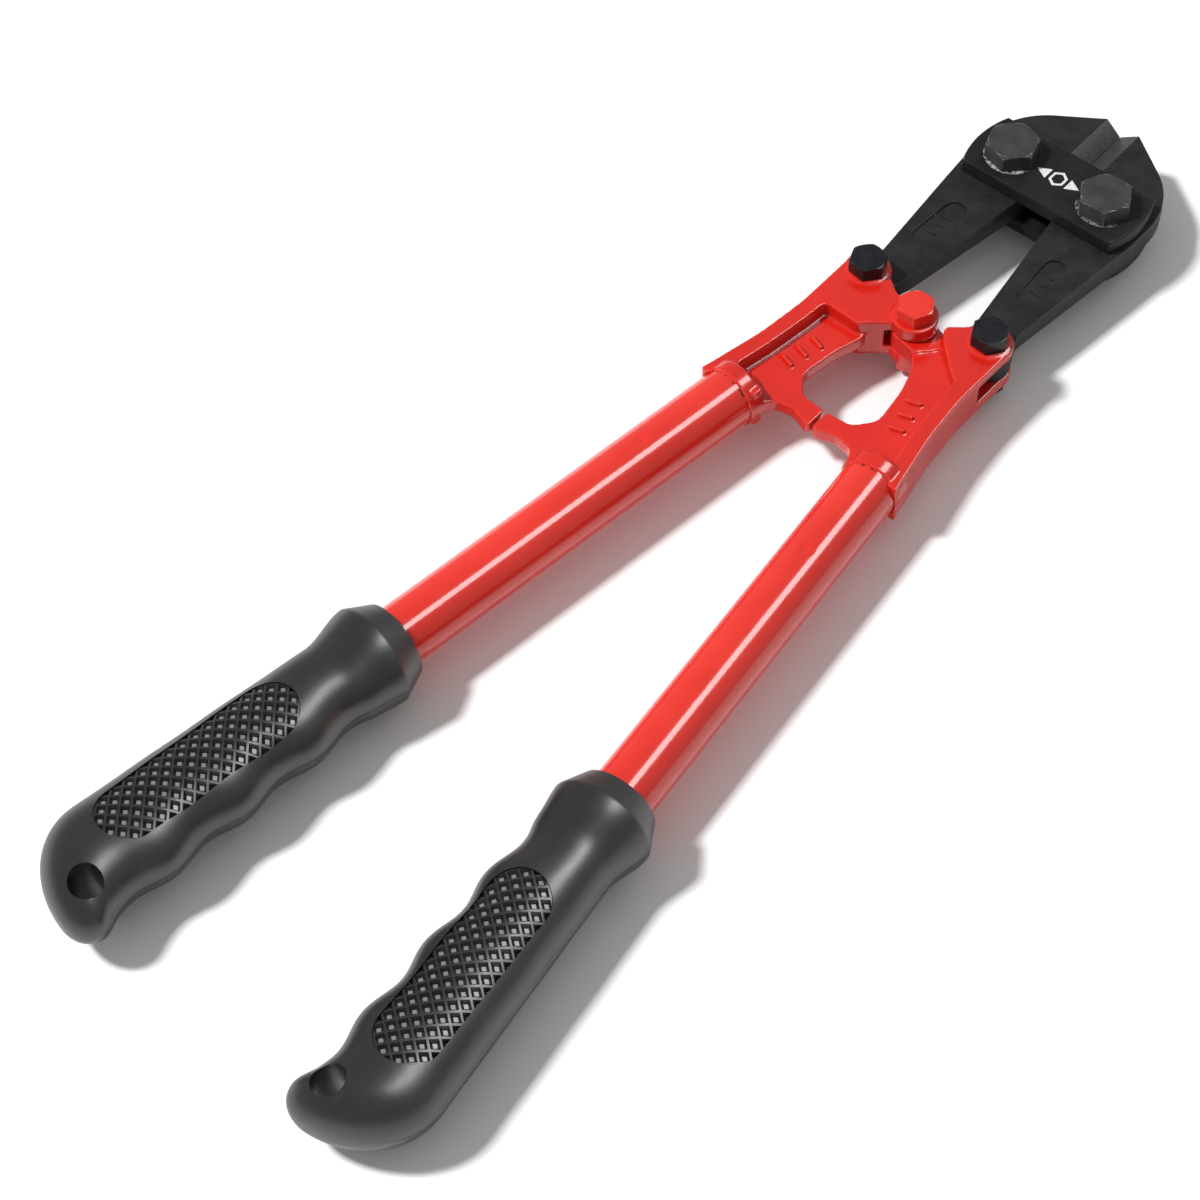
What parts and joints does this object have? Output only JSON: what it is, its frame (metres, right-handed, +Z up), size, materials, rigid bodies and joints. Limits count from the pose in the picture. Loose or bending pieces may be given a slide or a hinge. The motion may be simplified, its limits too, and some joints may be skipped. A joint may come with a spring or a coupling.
{
  "type": "bolt cutters",
  "caption": "Bolt cutters with forged jaws bolted between link plates, red cast handle heads on steel tubes, and moulded black grips with hang holes.",
  "frame": {"origin": "centre of the ground rectangle under the closed tool, on the plane that it lies on", "axes": "+Y towards the jaws along the tool, +Z up out of its broad face, +X to the right-hand handle; X = 0 is the plane between the two cutting edges"},
  "size_m": [0.1162, 0.3562, 0.0268],
  "materials": {
    "red_enamel": "gloss enamel over cast and drawn steel",
    "black_forged_steel": "satin black phosphate over forged and stamped steel",
    "black_oxide_steel": "semi-gloss black oxide",
    "spring_steel": "dark spring steel",
    "grip_rubber": "satin moulded vinyl rubber"
  },
  "bodies": {
    "link_plates": {"upper_link_plate": "black_forged_steel", "lower_link_plate": "black_forged_steel", "left_jaw_bolt": "black_forged_steel", "left_jaw_nut": "black_forged_steel", "left_jaw_lock_washer": "spring_steel", "right_jaw_bolt": "black_forged_steel", "right_jaw_nut": "black_forged_steel", "right_jaw_lock_washer": "spring_steel"},
    "left_jaw": {"left_jaw": "black_forged_steel"},
    "right_jaw": {"right_jaw": "black_forged_steel"},
    "left_handle": {"left_head": "red_enamel", "left_tube": "red_enamel", "left_grip": "grip_rubber", "left_handle_bolt": "black_oxide_steel", "left_handle_nut": "black_oxide_steel", "centre_bolt": "red_enamel", "centre_nut": "red_enamel"},
    "right_handle": {"right_head": "red_enamel", "right_tube": "red_enamel", "right_grip": "grip_rubber", "right_handle_bolt": "black_oxide_steel", "right_handle_nut": "black_oxide_steel"}
  },
  "joints": [
    {"name": "left_jaw_pivot", "type": "hinge", "parent": "link_plates", "child": "left_jaw", "pos_m": [-0.015, 0.14735, 0.0134], "axis": [0, 0, 1], "range_deg": [0, 6.2]},
    {"name": "right_jaw_pivot", "type": "hinge", "parent": "link_plates", "child": "right_jaw", "pos_m": [0.015, 0.14735, 0.0134], "axis": [0, 0, -1], "range_deg": [0, 6.2]},
    {"name": "left_handle_pivot", "type": "hinge", "parent": "left_jaw", "child": "left_handle", "pos_m": [-0.0196, 0.09115, 0.0134], "axis": [0, 0, -1], "range_deg": [0, 41]},
    {"name": "right_handle_pivot", "type": "hinge", "parent": "right_jaw", "child": "right_handle", "pos_m": [0.0196, 0.09115, 0.0134], "axis": [0, 0, 1], "range_deg": [0, 41]}
  ],
  "couplings": [
    {"joint": "right_handle_pivot", "follows": "left_handle_pivot", "ratio": 1},
    {"joint": "left_jaw_pivot", "follows": "left_handle_pivot", "ratio": 0.149},
    {"joint": "right_jaw_pivot", "follows": "left_handle_pivot", "ratio": 0.149}
  ]
}
